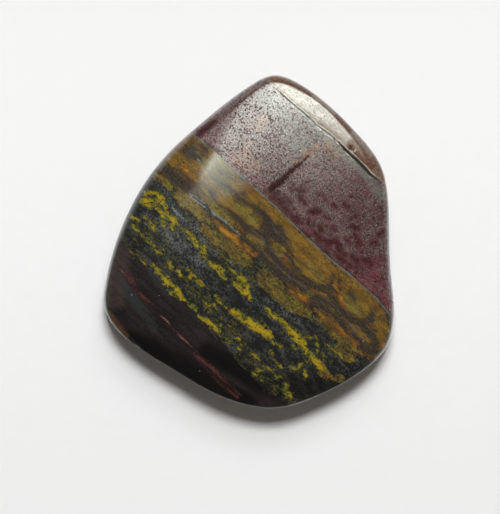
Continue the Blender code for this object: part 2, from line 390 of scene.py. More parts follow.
# Where the jasper is strewn with red grains
GRANULAR = (
    ((292, 192, 14), (322, 222, 26), (350, 246, 28), (372, 280, 20)),
    ((352, 205, 14), (378, 240, 12)),
)
GREENISH = (
    ((300, 113, 3), (322, 136, 4), (340, 152, 4)),
    ((340, 152, 3), (360, 168, 4), (372, 182, 5), (384, 196, 5)),
    ((262, 96, 8), (285, 112, 10), (290, 128, 10), (300, 142, 12)),
)
RUST = (
    ((352, 143, 5), (362, 155, 5), (372, 166, 4)),
    ((374, 158, 3), (380, 168, 4), (384, 178, 3)),
    ((108, 314, 3), (113, 322, 4), (119, 329, 3.6), (126, 336, 2.6)),
    ((338, 116, 3), (350, 130, 3)),
    ((255, 78, 3), (270, 77, 3), (290, 83, 3), (310, 93, 3)),
)
# Painted sheen: where the dark layers are painted paler grey, along the left rim too
PAINTED_SHEEN = (
    ((150, 218, 9), (170, 236, 12), (192, 252, 11), (205, 268, 8)),
    ((190, 222, 6), (205, 238, 7), (216, 250, 5)),
    ((270, 300, 4), (284, 310, 5), (300, 322, 4)),
    ((232, 262, 4), (240, 268, 4)),
    ((122, 252, 9), (116, 274, 11), (114, 300, 10)),
)
# Painted shade: where the stone is painted darker, along its south side away from the window
PAINTED_SHADE = (
    ((128, 338, 8), (150, 352, 14), (180, 372, 16), (212, 390, 14), (245, 402, 10)),
    ((208, 352, 10), (232, 366, 10), (262, 384, 12), (300, 388, 14), (330, 384, 8)),
)
BLOOD_STREAK = (
    ((118, 266, 0.8), (124, 275, 1.3), (130.7, 282.3, 1.8), (136, 287.5, 2.2), (141.5, 293.6, 2.4),
     (146.4, 298.6, 2), (153, 305, 1.4), (161.4, 316, 1.4), (166.3, 322, 1.8), (171, 328, 1.6),
     (178, 335.4, 1.8), (184.6, 342, 1.8), (191.2, 348.7, 1.8), (199.5, 357, 2.2), (207.8, 366, 3),
     (216, 375.7, 3.6), (226.8, 386, 4), (236, 395, 4)),
    ((128, 275.7, 0.6), (135.7, 284.8, 0.8), (143, 292.3, 0.7), (149, 298, 0.5)),
)
# Painted glints along the blood-red streak
BLOOD_PAINTED_GLINTS = (
    ((162, 316.5, 0.8), (167.4, 321.6, 1.4), (170.5, 326.5, 0.8)),
    ((177, 333.8, 0.6), (184, 341, 0.8), (192, 349, 0.7)),
    ((119.5, 268.5, 0.8), (122.5, 272.5, 0.7)),
)
SLATE = (
    ((119, 276, 3), (126, 288, 4), (134, 301, 5), (146, 316, 4.5), (154, 328, 4)),
    ((150, 270, 3), (160, 284, 4), (170, 294, 3)),
    ((158, 182, 3), (165, 191, 3.4), (170, 201, 2.6), (177, 212, 2.4), (186, 224, 2.6)),
    ((178, 226, 3), (186, 236, 3), (196, 244, 3)),
    ((252, 300, 3), (268, 312, 3.4), (286, 334, 3), (296, 346, 3)),
)
SILVER = (
    ((189.7, 193.4, 0.7), (197, 198.6, 0.7), (205, 204.2, 0.8), (209, 208.4, 0.5), (218, 215.8, 0.7),
     (229, 225, 0.7), (239.6, 234.2, 0.6)),
    ((191, 196.6, 0.4), (198, 202, 0.5), (205.5, 207.4, 0.6), (213, 213, 0.4), (224, 223.4, 0.4),
     (234, 232, 0.4)),
    ((197, 159, 0.4), (200.5, 162, 0.7)),
    ((172, 207, 0.5), (175, 211, 0.6), (181, 217, 0.7), (186, 221, 0.5)),
)
SILVER_CORE = (
    ((193, 196.2, 0.5), (200, 201.6, 0.9), (206, 206.2, 0.8)),
    ((206, 204.5, 1), (208.5, 209, 1.4), (210.5, 211, 0.9)),
    ((216, 216.6, 0.6), (226, 225, 0.8), (236, 233.4, 0.5)),
)
# Painted glints, small bright specks where grains catch the light: (x, y, half width)
PAINTED_GLINTS = (
    (212.6, 197.6, 0.6), (246.7, 188.3, 0.7), (310.2, 223.4, 0.8), (347.6, 225.6, 0.8), (357.0, 224.2, 0.7),
    (365.2, 255.0, 0.9), (375.2, 244.2, 0.8), (376.8, 225.0, 0.8), (374.4, 234.3, 0.7), (356.0, 240.6, 0.6),
    (339.4, 208.4, 0.6), (317.7, 146.0, 0.8), (384.8, 199.2, 0.6), (370.5, 199.5, 0.5), (298.0, 288.4, 0.8),
    (316.0, 311.6, 1.0), (323.8, 311.2, 0.7), (306.2, 313.4, 0.6), (382.2, 317.6, 1.0), (363.2, 341.2, 1.1),
    (357.4, 345.4, 0.6), (228.6, 286.0, 0.9), (250.0, 307.4, 0.8), (253.2, 311.4, 0.6), (131.6, 294.8, 1.1),
    (158.9, 295.3, 0.8), (125.3, 272.3, 0.7), (135.7, 279.4, 0.7), (167.6, 321.7, 1.1), (199.5, 371.5, 0.8),
    (244.8, 368.4, 0.7), (180.2, 270.2, 0.8), (133.4, 258.2, 0.7), (344.0, 361.0, 0.6), (331.4, 338.4, 0.5),
    (200.2, 162.4, 0.9), (331.0, 290.4, 0.7),
)
# Pits in the polish: (x, y, half width, depth in mm)
PITS = (
    (351.0, 147.5, 2.0, 0.03), (353.6, 149.4, 1.5, 0.02), (309.0, 222.8, 1.2, 0.01),
    (346.2, 225.0, 1.3, 0.01), (375.4, 243.0, 1.6, 0.012), (166.2, 323.4, 1.4, 0.012),
    (362.0, 342.4, 1.6, 0.012), (157.6, 294.4, 1.3, 0.01), (250.6, 308.6, 1.3, 0.01),
    (381.0, 316.6, 1.4, 0.012),
)
FURROW = (
    (316, 152, 0.8), (309, 155.6, 1.4), (302, 160, 1.8), (296, 166, 2.0), (291, 171, 2.4), (284, 177.5, 2.8),
    (277, 184, 3.6), (271, 189, 3.2), (266, 194, 1.6),
)
FURROW_CORE = (
    (308, 157, 0.7), (303, 160.5, 1.1), (298, 165, 1.6), (292, 170, 2.2), (287, 175.5, 1.8),
    (282, 180.5, 2.8), (276, 185.4, 3.3), (271, 189, 2.4),
)
# The part of the crack that gapes, painted dark as shade inside it
CRACK_GAP = (
    (338, 141.5, 0.6), (346, 149.8, 1.3), (355.5, 158.4, 1.7), (365.7, 168.6, 1.8), (371.5, 175, 1.5),
    (377.2, 178.6, 0.8),
)
# Fine relief, in mm. The furrow is hardly deeper than the face round it.
FURROW_DEPTH = 0.0015
CRACK_DEPTH = 0.10
CRACK_HALF_WIDTH = 0.045
GAPE_WIDENING = 0.8
LEDGE_DROP = 0.035
UNDULATION = 0.010
UNDULATION_SPAN = 2.6
# A nick in the rim: x, y and half width in photo pixels, depth in mm
RIM_NICK = (134.5, 349.5, 3.0, 0.10)

# The window and what shines in the polish: name, left and right azimuth, bottom and top height over distance,
# radiance, and whether it lights the scene or shows in reflections
WINDOW_PANES = (
    ("window", -13, 24, 2.3, 4.0, 68.5, True),
    ("low_window", -13, 33, 1.1, 2.3, 4.6, True),
    ("tall_surround", -42, 38, 0.6, 6.0, 2.4, False),
    ("pale_surround", -42, 41, 0.6, 3.65, 4.6, False),
    ("bright_middle", -20, 29, 1.8, 2.75, 3.2, False),
    ("bright_core", 3, 25, 1.8, 2.8, 5.2, False),
    ("left_pane", -44, -33, 2.4, 4.6, 2.2, False),
    ("low_pane", 22, 40, 0.9, 1.6, 8.2, False),
    ("right_pane", 38, 47, 0.55, 1.35, 7.0, False),
    ("far_pane", -62, -42, 3.9, 6.0, 1.3, False),
)
# Each pane stands a little nearer than the one before it: in one plane they would hide each other
FIRST_PANE_DISTANCE = 0.57
PANE_SPACING = 0.01
WINDOW_TINT = (0.976, 0.99, 1.0)
PANE_TINT = (0.95, 1.0, 0.92)
ROOM_RADIANCE = 0.13
ROOM_TINT = (1.0, 0.92, 0.83, 1.0)

# The paper: its colour at the front and the back, where it changes and how unevenly, in mm, and its tooth.
# The darker front is painted shade, where the window's light falls off.
PAPER_FRONT = (0.82, 0.82, 0.815, 1.0)
PAPER_BACK = (0.905, 0.905, 0.9, 1.0)
PAPER_SHADE_SPAN = (-17.0, 8.0)
PAPER_UNEVENNESS = 6.0
PAPER_TOOTH_PER_MM = 1.2


def srgb(red, green, blue):
    """A colour given as on a screen, as the linear value that a shader takes."""
    shares = (value / 255.0 for value in (red, green, blue))
    return (*(s / 12.92 if s <= 0.04045 else ((s + 0.055) / 1.055) ** 2.4 for s in shares), 1.0)


# Form


def periodic_spline(knots, values, places):
    """A smooth closed curve through values at knots, in degrees round a full turn, read at places."""
    knots = np.asarray(knots, float)
    values = np.asarray(values, float)
    count = len(knots)
    steps = np.diff(np.append(knots, knots[0] + 360.0))
    rises = (np.roll(values, -1) - values) / steps
    matrix = np.zeros((count, count))
    for i in range(count):
        matrix[i, i - 1] += steps[i - 1]
        matrix[i, i] += 2.0 * (steps[i - 1] + steps[i])
        matrix[i, (i + 1) % count] += steps[i]
    bends = np.linalg.solve(matrix, 6.0 * (rises - np.roll(rises, 1)))
    turned = (np.asarray(places, float) - knots[0]) % 360.0
    span = np.clip(np.searchsorted(knots - knots[0], turned, side="right") - 1, 0, count - 1)
    after = (span + 1) % count
    far = turned - (knots[span] - knots[0])
    left = steps[span] - far
    return (
        (bends[span] * left**3 + bends[after] * far**3) / (6.0 * steps[span])
        + (values[span] / steps[span] - bends[span] * steps[span] / 6.0) * left
        + (values[after] / steps[span] - bends[after] * steps[span] / 6.0) * far
    )


def outline_reach(direction):
    """Distance from the centre to the outline, in mm, in each direction in degrees."""
    points = np.array(OUTLINE)
    knots = np.degrees(np.arctan2(points[:, 1], points[:, 0])) % 360.0
    return periodic_spline(knots, np.hypot(points[:, 0], points[:, 1]), direction)


def outline_lean(direction):
    """Cosine of the angle between the direction from the centre and the outline's own normal."""
    step = 0.5
    reach = outline_reach(direction)
    turn = (outline_reach(direction + step) - outline_reach(direction - step)) / math.radians(2 * step)
    return reach / np.hypot(reach, turn)


def read_round(table, direction):
    """The value of a table of (direction, value) read at each direction."""
    directions, values = zip(*table)
    return periodic_spline(directions, values, direction)


def roll_over(inset, width):
    """0 at the outline, rising steeply at first and reaching 1 at the given width in from it."""
    left = 1.0 - np.clip(inset / width, 0.0, 1.0)
    return (1.0 - left**SHOULDER_POWER) ** (1.0 / SHOULDER_POWER)


def shoulder(inset, direction):
    """0 at the outline, up a tight edge and then a wide easy curve to 1 on the face."""
    share = read_round(EDGE_SHARES, direction)
    edge = roll_over(inset, read_round(EDGE_WIDTHS, direction))
    return share * edge + (1.0 - share) * roll_over(inset, read_round(SHOULDER_WIDTHS, direction))


def bevel_drop(x, y):
    """How far the bevel lowers the polished face, in mm."""
    past = x * math.cos(BEVEL_DIRECTION) + y * math.sin(BEVEL_DIRECTION) - BEVEL_START
    return BEVEL_SLOPE * BEVEL_SOFTNESS * np.logaddexp(0.0, past / BEVEL_SOFTNESS)


def surface_height(x, y, share, upper):
    """Height of the stone's surface over (x, y), in mm, share being how far out to the outline it is."""
    direction = np.degrees(np.arctan2(y, x))
    inset = (1.0 - share) * outline_reach(direction) * outline_lean(direction)
    dome = 1.0 - share**2
    girdle = read_round(GIRDLE_HEIGHTS, direction)
    rise = THICKNESS - girdle - CROWN_RISE + CROWN_RISE * dome - bevel_drop(x, y)
    top = girdle + rise * shoulder(inset, direction)
    drop = girdle - KEEL_DROP * (1.0 - FLAT_SPOT_SHARE**2) + KEEL_DROP * dome
    bottom = girdle - drop * roll_over(inset, UNDERSIDE_SHOULDER)
    return np.where(upper, top, np.maximum(bottom, 0.0))


def disc_places(cells, outermost):
    """Share and direction, in degrees, of a square grid's points mapped onto a disc: rows by columns."""
    across = np.linspace(-1.0, 1.0, cells + 1)
    a, b = np.meshgrid(across, across, indexing="ij")
    wide = np.abs(a) > np.abs(b)
    radius = np.where(wide, a, b)
    ratio = np.divide(np.where(wide, b, a), radius, out=np.zeros_like(a), where=radius != 0.0)
    direction = np.where(wide, 45.0 * ratio, 90.0 - 45.0 * ratio)
    direction = np.where(radius < 0.0, direction + 180.0, direction)
    return spread_share(np.abs(radius) * outermost), direction


def spread_share(steps):
    """Even steps from the middle over the face, drawing closer together as the edge rolls over."""
    edge_start = 0.8
    edge_pull = 1.0 / (2.0 * edge_start * (1.0 - edge_start) + (1.0 - edge_start) ** 2)
    face_pull = 2.0 * edge_pull * (1.0 - edge_start)
    return np.where(steps < edge_start, steps * face_pull, 1.0 - edge_pull * (1.0 - steps) ** 2)


def grid_faces(cells, first, flip):
    """The four corners of each cell of a grid of points numbered from first."""
    rows, columns = np.meshgrid(np.arange(cells), np.arange(cells), indexing="ij")
    corner = first + rows * (cells + 1) + columns
    corners = [corner, corner + cells + 1, corner + cells + 2, corner + 1]
    return np.stack(corners[::-1] if flip else corners, axis=-1).reshape(-1, 4)


def grid_rim(cells, first):
    """The grid's outer points in order, once round."""
    index = first + np.arange((cells + 1) ** 2).reshape(cells + 1, cells + 1)
    return np.concatenate([index[:-1, 0], index[-1, :-1], index[:0:-1, -1], index[0, :0:-1]])


def bridge_faces(fine, coarse):
    """Triangles between a rim and one with half as many points."""
    faces = []
    count = len(coarse)
    for k in range(count):
        a, b, c = fine[2 * k], fine[2 * k + 1], fine[(2 * k + 2) % len(fine)]
        near, after = coarse[k], coarse[(k + 1) % count]
        faces += [(a, near, b), (b, near, after), (b, after, c)]
    return faces


def stone_points():
    """Points of the fine stone in mm: the upper grid's, then the lower grid's, and which are upper."""
    lower_rim = 1.0 - 1.5 / UNDER_CELLS
    grids = []
    for cells, outermost, upper in ((FACE_CELLS, 1.0, True), (UNDER_CELLS, lower_rim, False)):
        share, direction = disc_places(cells, outermost)
        share, direction = share.ravel(), direction.ravel()
        distance = share * outline_reach(direction)
        x = distance * np.cos(np.radians(direction))
        y = distance * np.sin(np.radians(direction))
        grids.append((x, y, surface_height(x, y, share, upper), np.full(x.shape, upper)))
    x, y, z, upper = (np.concatenate(parts) for parts in zip(*grids))
    turn_step = 0.25
    turns = np.arange(0.0, 360.0, turn_step)
    around = outline_reach(turns) * np.exp(1j * np.radians(turns))
    middle_x = (around.real.max() + around.real.min()) / 2
    middle_y = (around.imag.max() + around.imag.min()) / 2
    x = (x - middle_x) * WIDTH / np.ptp(around.real)
    y = (y - middle_y) * (LENGTH - END_TRIM) / np.ptp(around.imag) + END_SHIFT
    return np.column_stack((x, y, z)), upper


def surface_normals(points, faces):
    """Unit normals at the points, from the faces round them."""
    corners = points[faces[:, :3]]
    face_normals = np.cross(corners[:, 1] - corners[:, 0], corners[:, 2] - corners[:, 0])
    normals = np.zeros_like(points)
    for k in range(faces.shape[1]):
        np.add.at(normals, faces[:, k], face_normals)
    return normals / np.linalg.norm(normals, axis=1, keepdims=True)


# Where the marks lie


def to_photo(x, y):
    """Where a place on the face shows in the photograph, in pixels, from its place on the stone in mm."""
    return (
        PHOTO_SIZE[0] / 2 + (x - CAMERA_X) * FACE_PIXELS_PER_MM,
        PHOTO_SIZE[1] / 2 - (y - CAMERA_Y) * FACE_PIXELS_PER_MM,
    )


def round_mark(x, y, half_width):
    """A mark hardly longer than it is wide."""
    length = 0.1
    return ((x, y, half_width), (x + length, y, half_width))


def from_each_segment(px, py, marks):
    """For each straight piece of the marks, the distance to it and its half width there, in pixels."""
    for mark in marks:
        for (x0, y0, w0), (x1, y1, w1) in zip(mark[:-1], mark[1:]):
            dx, dy = x1 - x0, y1 - y0
            along = np.clip(((px - x0) * dx + (py - y0) * dy) / (dx * dx + dy * dy), 0.0, 1.0)
            yield np.hypot(px - x0 - along * dx, py - y0 - along * dy), w0 + along * (w1 - w0)


def depth_inside(px, py, marks, least):
    """How far inside the nearest mark each place is, in mm, and never under least."""
    depth = np.full(px.shape, float(least))
    for apart, half_width in from_each_segment(px, py, marks):
        depth = np.maximum(depth, (half_width - apart) / FACE_PIXELS_PER_MM)
    return depth


def soft_inside(px, py, marks):
    """1 in the middle of the marks, falling to 0 half of their half width outside them."""
    reach = 1.5
    amount = np.zeros(px.shape)
    for apart, half_width in from_each_segment(px, py, marks):
        amount = np.maximum(amount, np.clip(reach - apart / half_width, 0.0, 1.0))
    return amount * amount * (3.0 - 2.0 * amount)


def layer_axes(px, py):
    """Distance along and across the layers, in mm, from the middle of the frame."""
    x = (np.asarray(px, float) - PHOTO_SIZE[0] / 2) / FACE_PIXELS_PER_MM
    y = (np.asarray(py, float) - PHOTO_SIZE[1] / 2) / FACE_PIXELS_PER_MM
    along = x * math.cos(LAYER_ANGLE) + y * math.sin(LAYER_ANGLE)
    across = x * math.sin(LAYER_ANGLE) - y * math.cos(LAYER_ANGLE)
    return along, across


def past_line(px, py, line):
    """Distance across the layers from a boundary, in mm: above 0 on its upper right side."""
    along, across = layer_axes(px, py)
    line_along, line_across = layer_axes(*zip(*line))
    return across - np.interp(along, line_along, line_across)


def slanted(x, y, z):
    """The place on the face that lies in the same layer as each point, in mm."""
    below = np.maximum(SLANT_START_HEIGHT - z, 0.0)
    shift = LAYER_SLANT * below**2 / (below + SLANT_EASE)
    return x + shift * math.sin(LAYER_ANGLE), y + shift * math.cos(LAYER_ANGLE)


def crack_share(px, py):
    """1 along the crack, falling to 0 past its ends."""
    start_length, end_length = 0.8, 0.4
    along, _ = layer_axes(px, py)
    start, _ = layer_axes(*CRACK_LINE[0])
    end, _ = layer_axes(*CRACK_LINE[-1])
    started = np.clip((along - start) / start_length - 0.3, 0.0, 1.0)
    return started * np.clip((end - along) / end_length + 0.5, 0.0, 1.0)


def undulation(points):
    """A slight unevenness of the surface, from 0 to 1, at each of the points in mm."""
    shift = Vector((17.3, 5.1, 9.7))
    bumps = np.array([noise.noise(Vector(p) / UNDULATION_SPAN + shift) for p in points])
    return 0.5 + 0.5 * bumps


def relief(px, py, upper, points):
    """How far the surface lies below its smooth form, in mm."""
    drop = UNDULATION * undulation(points)

    gape_length = 0.3
    along, _ = layer_axes(px, py)
    open_from, _ = layer_axes(*CRACK_LINE[CRACK_GAPES_FROM])
    gaping = np.clip((along - open_from) / gape_length + 0.5, 0.0, 1.0)
    half_width = CRACK_HALF_WIDTH * (1.0 + GAPE_WIDENING * gaping)
    past_crack = past_line(px, py, CRACK_LINE)
    groove = CRACK_DEPTH * (0.5 + 0.5 * gaping) * np.exp(-((past_crack / half_width) ** 2))

    ledge_start, ledge_softness, ledge_length = 0.03, 0.04, 0.35
    ledge = LEDGE_DROP * 0.5 * (1.0 + np.tanh((past_crack - ledge_start) / ledge_softness))
    ledge = ledge * np.exp(-np.maximum(past_crack, 0.0) / ledge_length)
    drop = drop + np.where(upper, crack_share(px, py) * (groove + ledge), 0.0)

    furrow_softness = 0.12
    furrow = np.clip(0.5 + depth_inside(px, py, (FURROW,), -0.2) / furrow_softness, 0.0, 1.0)
    drop = drop + np.where(upper, FURROW_DEPTH * furrow, 0.0)
    for x, y, half_width, depth in PITS:
        apart = np.hypot(px - x, py - y) / half_width
        drop = drop + np.where(upper, depth * np.exp(-(apart**3)), 0.0)
    x, y, half_width, depth = RIM_NICK
    return drop + depth * np.exp(-((np.hypot(px - x, py - y) / half_width) ** 2))


# Mesh


def unit_grid(cells):
    """Points of a square grid from 0 to 1 each way: a row for each."""
    steps = np.linspace(0, 1, cells + 1)
    rows, columns = np.meshgrid(steps, steps, indexing="ij")
    return np.column_stack((rows.ravel(), columns.ravel()))


def add_layout(mesh):
    """A flat layout with the upper side over the lower one, for textures made from the material."""
    face_share = 0.68
    margin = 0.004
    under_size = 1.0 - 2.0 / UNDER_CELLS
    upper_grid = unit_grid(FACE_CELLS)
    lower_grid = 0.5 + (unit_grid(UNDER_CELLS) - 0.5) * under_size
    places = np.concatenate([upper_grid, lower_grid])
    corner_points = np.zeros(len(mesh.loops), np.int32)
    mesh.loops.foreach_get("vertex_index", corner_points)
    sizes = np.zeros(len(mesh.polygons), np.int32)
    mesh.polygons.foreach_get("loop_total", sizes)
    upper = np.repeat(np.arange(len(mesh.polygons)) < FACE_CELLS**2, sizes)
    uv = margin + places[corner_points] * (1.0 - 2.0 * margin)
    uv[:, 1] = np.where(upper, uv[:, 1] * face_share, face_share + uv[:, 1] * (1.0 - face_share))
    mesh.uv_layers.new(name="OFBake").data.foreach_set("uv", uv.astype(np.float32).ravel())


def add_field(mesh, name, values):
    """Stores a number or a vector for each point, under a name that the material reads."""
    values = np.asarray(values, np.float32)
    kind, key = ("FLOAT", "value") if values.ndim == 1 else ("FLOAT_VECTOR", "vector")
    mesh.attributes.new(name, kind, "POINT").data.foreach_set(key, values.ravel())


def yellow_depth(px, py):
    """How far inside a yellow fleck each place is, in mm. The finest come by chance, below the ochre."""
    usual, richer, leaner, none = -0.145, 0.05, 0.14, -0.6
    chance = usual + richer * soft_inside(px, py, FLECK_RICH) - leaner * soft_inside(px, py, FLECK_LEAN)
    below_middle = past_line(px, py, MIDDLE_LINE) < 0.0
    above_lower = past_line(px, py, LOWER_LINE) > -0.05
    strewn = np.where(below_middle & above_lower, chance, none)
    flecks = np.maximum(depth_inside(px, py, YELLOW, none), strewn)
    return np.minimum(flecks, -depth_inside(px, py, YELLOW_HOLES, -0.3))


def add_fields(mesh, px, py, depth_below):
    """Stores where each point lies in the layers and in the marks, for the material."""
    add_field(mesh, "grain", np.column_stack((*layer_axes(px, py), depth_below)))
    add_field(mesh, "past_contact", past_line(px, py, CONTACT_LINE))
    add_field(mesh, "past_middle", past_line(px, py, MIDDLE_LINE))
    add_field(mesh, "past_lower", past_line(px, py, LOWER_LINE))
    add_field(mesh, "past_crack", past_line(px, py, CRACK_LINE))
    add_field(mesh, "crack_share", crack_share(px, py))
    add_field(mesh, "yellow", yellow_depth(px, py))
    glint_size = 0.6
    glints = [round_mark(x, y, glint_size * half_width) for x, y, half_width in PAINTED_GLINTS]
    pits = [round_mark(x, y, half_width) for x, y, half_width, _ in PITS]
    for name, marks, least in (
        ("orange", ORANGE, -0.3),
        ("ember", EMBER, -0.3),
        ("dark", DARK, -0.3),
        ("wisps", WISPS, -0.2),
        ("amber", AMBER, -0.3),
        ("red", RED, -0.3),
        ("blood", BLOOD_STREAK, -0.3),
        ("blood_glints", BLOOD_PAINTED_GLINTS, -0.2),
        ("silver", SILVER, -0.2),
        ("silver_core", SILVER_CORE, -0.2),
        ("furrow", (FURROW,), -0.3),
        ("furrow_core", (FURROW_CORE,), -0.3),
        ("umber", UMBER, -0.3),
        ("crack_gap", (CRACK_GAP,), -0.3),
        ("glints", glints, -0.2),
        ("pits", pits, -0.2),
    ):
        add_field(mesh, name, depth_inside(px, py, marks, least))
    for name, marks in (
        ("gold", GOLD),
        ("olive", OLIVE),
        ("shade", PAINTED_SHADE),
        ("crimson", CRIMSON),
        ("granular", GRANULAR),
        ("warm", WARM),
        ("greenish", GREENISH),
        ("rust", RUST),
        ("pale", PAINTED_SHEEN),
        ("slate", SLATE),
    ):
        add_field(mesh, name, soft_inside(px, py, marks))


def make_stone():
    """The whole stone: two grids bridged along the rim, with its relief, fields and material."""
    points, upper = stone_points()
    upper_count = (FACE_CELLS + 1) ** 2
    quads = np.concatenate([grid_faces(FACE_CELLS, 0, False), grid_faces(UNDER_CELLS, upper_count, True)])
    bridge = bridge_faces(grid_rim(FACE_CELLS, 0), grid_rim(UNDER_CELLS, upper_count))
    layer_px, layer_py = to_photo(*slanted(*points.T))
    face_px, face_py = to_photo(points[:, 0], points[:, 1])
    drop = relief(face_px, face_py, upper, points)
    drop[points[:, 2] <= 0.0] = 0.0
    points = points - surface_normals(points, quads) * drop[:, None]
    points[:, 2] = np.maximum(points[:, 2], 0.0)

    mesh = bpy.data.meshes.new("stone_surface")
    mesh.from_pydata((points * MM).tolist(), [], quads.tolist() + bridge)
    mesh.validate()
    mesh.shade_smooth()
    add_layout(mesh)
    add_fields(mesh, layer_px, layer_py, np.maximum(SLANT_START_HEIGHT - points[:, 2], 0.0))
    mesh.materials.append(stone_material())
    stone = bpy.data.objects.new("polished_stone", mesh)
    bpy.context.scene.collection.objects.link(stone)
    return stone


# Material


class Shading:
    """Short names for the shader nodes that the materials use."""

    def __init__(self, material):
        material.use_nodes = True
        self.tree = material.node_tree
        self.tree.nodes.clear()

    def node(self, kind, inputs=None, **settings):
        """A new node with its settings made and its inputs fed by name."""
        made = self.tree.nodes.new(kind)
        for name, value in settings.items():
            setattr(made, name, value)
        for name, value in (inputs or {}).items():
            self.feed(made.inputs[name], value)
        return made

    def feed(self, socket, value):
        """Links another node's output to a socket, or sets it to a constant."""
        if isinstance(value, bpy.types.NodeSocket):
            self.tree.links.new(value, socket)
        else:
            socket.default_value = value

    def surface(self, inputs):
        """The material's surface: one shader with the given inputs."""
        shader = self.node("ShaderNodeBsdfPrincipled", inputs)
        self.node("ShaderNodeOutputMaterial", {"Surface": shader.outputs["BSDF"]})

    def field(self, name):
        return self.node("ShaderNodeAttribute", attribute_name=name).outputs["Fac"]

    def grain(self, stretch):
        """The place in the layers, squeezed by stretch so that noise comes out longer along them."""
        place = self.node("ShaderNodeAttribute", attribute_name="grain")
        scaled = self.node("ShaderNodeVectorMath", operation="MULTIPLY")
        self.feed(scaled.inputs[0], place.outputs["Vector"])
        self.feed(scaled.inputs[1], stretch)
        return scaled.outputs["Vector"]

    def noise(self, scale, detail=2.0, stretch=EVEN, seed=0.0, rough=0.55):
        """Noise about 0, mostly between -0.35 and 0.35, with scale bumps to the mm."""
        inputs = {"Vector": self.grain(stretch), "W": seed, "Scale": scale}
        inputs.update({"Detail": detail, "Roughness": rough})
        made = self.node("ShaderNodeTexNoise", inputs, noise_dimensions="4D")
        return self.add(made.outputs["Fac"], -0.5)

    def cells(self, scale, seed):
        """Distance to the nearest of scattered points, scale points to the mm."""
        inputs = {"Vector": self.grain(EVEN), "W": seed, "Scale": scale}
        return self.node("ShaderNodeTexVoronoi", inputs, voronoi_dimensions="4D").outputs["Distance"]

    def math(self, operation, a, b=0.0):
        made = self.node("ShaderNodeMath", operation=operation)
        self.feed(made.inputs[0], a)
        self.feed(made.inputs[1], b)
        return made.outputs["Value"]

    def chain(self, operation, a, rest):
        for b in rest:
            a = self.math(operation, a, b)
        return a

    def add(self, a, *rest):
        return self.chain("ADD", a, rest)

    def times(self, a, *rest):
        return self.chain("MULTIPLY", a, rest)

    def largest(self, a, *rest):
        return self.chain("MAXIMUM", a, rest)

    def magnitude(self, a):
        """A number without its sign."""
        return self.math("ABSOLUTE", a)

    def vary(self, value, *noises):
        """A value with noises added, each given with its amount."""
        for noise_value, amount in noises:
            value = self.add(value, self.times(noise_value, amount))
        return value

    def step(self, value, low, high):
        """0 below low, 1 above high, smooth between."""
        inputs = {"Value": value, "From Min": low, "From Max": high}
        return self.node("ShaderNodeMapRange", inputs, interpolation_type="SMOOTHSTEP").outputs["Result"]

    def mark(self, name, low, high, *noises):
        """1 inside the marks of a field and 0 outside, by a step at an edge that the noises make ragged."""
        return self.step(self.vary(self.field(name), *noises), low, high)

    def mix(self, share, a, b):
        """Between two colours."""
        inputs = {"Factor": share, "A": a, "B": b}
        return self.node("ShaderNodeMix", inputs, data_type="RGBA").outputs["Result"]

    def blend(self, share, a, b):
        """Between two numbers."""
        inputs = {"Factor": share, "A": a, "B": b}
        return self.node("ShaderNodeMix", inputs, data_type="FLOAT").outputs["Result"]

    def ramp(self, value, low, high, low_colour, high_colour):
        """A colour that goes from one to the other as a value goes from low to high."""
        return self.mix(self.step(value, low, high), low_colour, high_colour)

    def over(self, colour, tint, *shares):
        """A colour with a tint over it, as strong as the shares multiplied."""
        return self.mix(self.times(*shares), colour, tint)


def jasper_colour(s, grains, fine, pepper, blotch):
    """Mauve-grey jasper, peppered with dark grains, redder and blotched towards the contact."""
    broad = s.noise(0.8, 2.0, seed=1.0)
    hue = s.noise(2.5, 3.0, seed=4.0)
    tone = s.vary(s.times(grains, 0.65), (fine, 1.2), (broad, 0.35))
    colour = s.ramp(tone, -0.1, 0.12, srgb(60, 36, 35), srgb(112, 96, 93))
    colour = s.over(colour, srgb(96, 54, 53), s.step(hue, -0.08, 0.14), 0.5)
    colour = s.over(colour, srgb(108, 110, 98), s.field("greenish"), s.step(grains, -0.2, 0.08), 0.72)
    warmth = s.step(s.vary(hue, (grains, 0.6)), -0.3, 0.22)
    colour = s.over(colour, srgb(134, 100, 74), s.field("warm"), warmth, 0.72)
    near_contact = s.times(s.step(s.field("past_contact"), 1.2, 0.0), s.step(hue, -0.16, 0.06), 0.65)
    deep_red = s.times(s.field("crimson"), s.step(s.add(hue, grains), -0.3, 0.1), 0.8)
    crimson = s.ramp(tone, -0.12, 0.12, srgb(60, 27, 31), srgb(114, 52, 57))
    colour = s.over(colour, crimson, s.largest(deep_red, near_contact))
    colour = s.over(colour, s.ramp(fine, -0.1, 0.12, srgb(34, 15, 13), srgb(74, 32, 28)), blotch)
    return s.over(colour, srgb(47, 37, 38), pepper, 0.55)


def outer_colour(s, grains, fine):
    """The layer beyond the crack: pinkish brown, rust towards the edge."""
    tone = s.vary(grains, (fine, 0.5))
    colour = s.ramp(tone, -0.2, 0.2, srgb(96, 78, 68), srgb(128, 110, 94))
    rust = s.ramp(tone, -0.1, 0.1, srgb(66, 38, 28), srgb(104, 66, 42))
    return s.over(colour, rust, s.field("rust"), 0.75)


